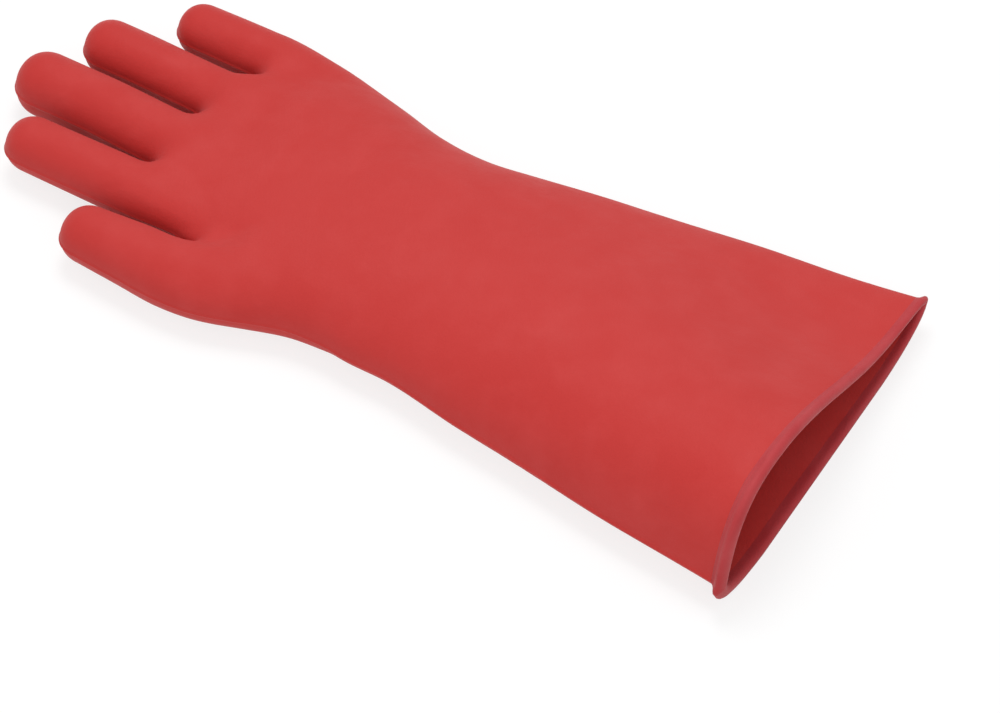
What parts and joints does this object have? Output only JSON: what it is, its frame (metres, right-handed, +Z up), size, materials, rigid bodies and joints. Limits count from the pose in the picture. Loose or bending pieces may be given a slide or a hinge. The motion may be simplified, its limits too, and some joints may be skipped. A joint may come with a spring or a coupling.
{
  "type": "electrical insulating glove",
  "caption": "Long rubber insulating glove for the right hand, with round fingers and thumb, a flaring gauntlet sleeve and a rolled bead round the open cuff",
  "frame": {"origin": "under the middle of the glove's bounding box, on the surface that the palm lies on", "axes": "+X from the cuff to the fingertips, +Y to the thumb side, +Z up through the back of the hand"},
  "size_m": [0.36, 0.1602, 0.05],
  "materials": {
    "glove_rubber": "matte red moulded rubber",
    "bead_rubber": "matte red rubber, a little pinker where it is rolled"
  },
  "bodies": {
    "gauntlet": {"cuff_bead": "bead_rubber", "gauntlet_back": "glove_rubber", "gauntlet_palm": "glove_rubber", "wrist_fold": "glove_rubber"},
    "hand": {"hand_back": "glove_rubber", "hand_palm": "glove_rubber", "little_knuckle_fold": "glove_rubber", "ring_knuckle_fold": "glove_rubber", "middle_knuckle_fold": "glove_rubber", "index_knuckle_fold": "glove_rubber", "thumb_knuckle_fold": "glove_rubber"},
    "little_base": {"little_base_back": "glove_rubber", "little_base_palm": "glove_rubber", "little_joint_fold": "glove_rubber"},
    "little_tip": {"little_tip_back": "glove_rubber", "little_tip_palm": "glove_rubber"},
    "ring_base": {"ring_base_back": "glove_rubber", "ring_base_palm": "glove_rubber", "ring_joint_fold": "glove_rubber"},
    "ring_tip": {"ring_tip_back": "glove_rubber", "ring_tip_palm": "glove_rubber"},
    "middle_base": {"middle_base_back": "glove_rubber", "middle_base_palm": "glove_rubber", "middle_joint_fold": "glove_rubber"},
    "middle_tip": {"middle_tip_back": "glove_rubber", "middle_tip_palm": "glove_rubber"},
    "index_base": {"index_base_back": "glove_rubber", "index_base_palm": "glove_rubber", "index_joint_fold": "glove_rubber"},
    "index_tip": {"index_tip_back": "glove_rubber", "index_tip_palm": "glove_rubber"},
    "thumb_base": {"thumb_base_back": "glove_rubber", "thumb_base_palm": "glove_rubber", "thumb_joint_fold": "glove_rubber"},
    "thumb_tip": {"thumb_tip_back": "glove_rubber", "thumb_tip_palm": "glove_rubber"}
  },
  "joints": [
    {"name": "wrist_bend", "type": "hinge", "parent": "gauntlet", "child": "hand", "pos_m": [-0.003, 0, 0.02], "axis": [0, 1, 0], "range_deg": [-45, 45], "stiffness_Nm_per_rad": 0.25, "deforming": ["wrist_fold"]},
    {"name": "little_knuckle", "type": "hinge", "parent": "hand", "child": "little_base", "pos_m": [0.1021, -0.0588, 0.013], "axis": [0, 1, 0], "range_deg": [-10, 50], "stiffness_Nm_per_rad": 0.05, "deforming": ["little_knuckle_fold"]},
    {"name": "little_joint", "type": "hinge", "parent": "little_base", "child": "little_tip", "pos_m": [0.12131, -0.0588, 0.013], "axis": [0, 1, 0], "range_deg": [0, 50], "stiffness_Nm_per_rad": 0.05, "deforming": ["little_joint_fold"]},
    {"name": "ring_knuckle", "type": "hinge", "parent": "hand", "child": "ring_base", "pos_m": [0.11271, -0.0321, 0.013], "axis": [0, 1, 0], "range_deg": [-10, 60], "stiffness_Nm_per_rad": 0.05, "deforming": ["ring_knuckle_fold"]},
    {"name": "ring_joint", "type": "hinge", "parent": "ring_base", "child": "ring_tip", "pos_m": [0.14013, -0.0321, 0.013], "axis": [0, 1, 0], "range_deg": [0, 60], "stiffness_Nm_per_rad": 0.05, "deforming": ["ring_joint_fold"]},
    {"name": "middle_knuckle", "type": "hinge", "parent": "hand", "child": "middle_base", "pos_m": [0.11306, -0.0032, 0.013], "axis": [0, 1, 0], "range_deg": [-10, 60], "stiffness_Nm_per_rad": 0.05, "deforming": ["middle_knuckle_fold"]},
    {"name": "middle_joint", "type": "hinge", "parent": "middle_base", "child": "middle_tip", "pos_m": [0.14616, -0.0032, 0.013], "axis": [0, 1, 0], "range_deg": [0, 60], "stiffness_Nm_per_rad": 0.05, "deforming": ["middle_joint_fold"]},
    {"name": "index_knuckle", "type": "hinge", "parent": "hand", "child": "index_base", "pos_m": [0.11271, 0.0269, 0.013], "axis": [0, 1, 0], "range_deg": [-10, 60], "stiffness_Nm_per_rad": 0.05, "deforming": ["index_knuckle_fold"]},
    {"name": "index_joint", "type": "hinge", "parent": "index_base", "child": "index_tip", "pos_m": [0.13913, 0.0269, 0.013], "axis": [0, 1, 0], "range_deg": [0, 60], "stiffness_Nm_per_rad": 0.05, "deforming": ["index_joint_fold"]},
    {"name": "thumb_knuckle", "type": "hinge", "parent": "hand", "child": "thumb_base", "pos_m": [0.07731, 0.0543, 0.013], "axis": [0, 1, 0], "range_deg": [-10, 50], "stiffness_Nm_per_rad": 0.05, "deforming": ["thumb_knuckle_fold"]},
    {"name": "thumb_joint", "type": "hinge", "parent": "thumb_base", "child": "thumb_tip", "pos_m": [0.09845, 0.0543, 0.013], "axis": [0, 1, 0], "range_deg": [0, 50], "stiffness_Nm_per_rad": 0.05, "deforming": ["thumb_joint_fold"]}
  ]
}
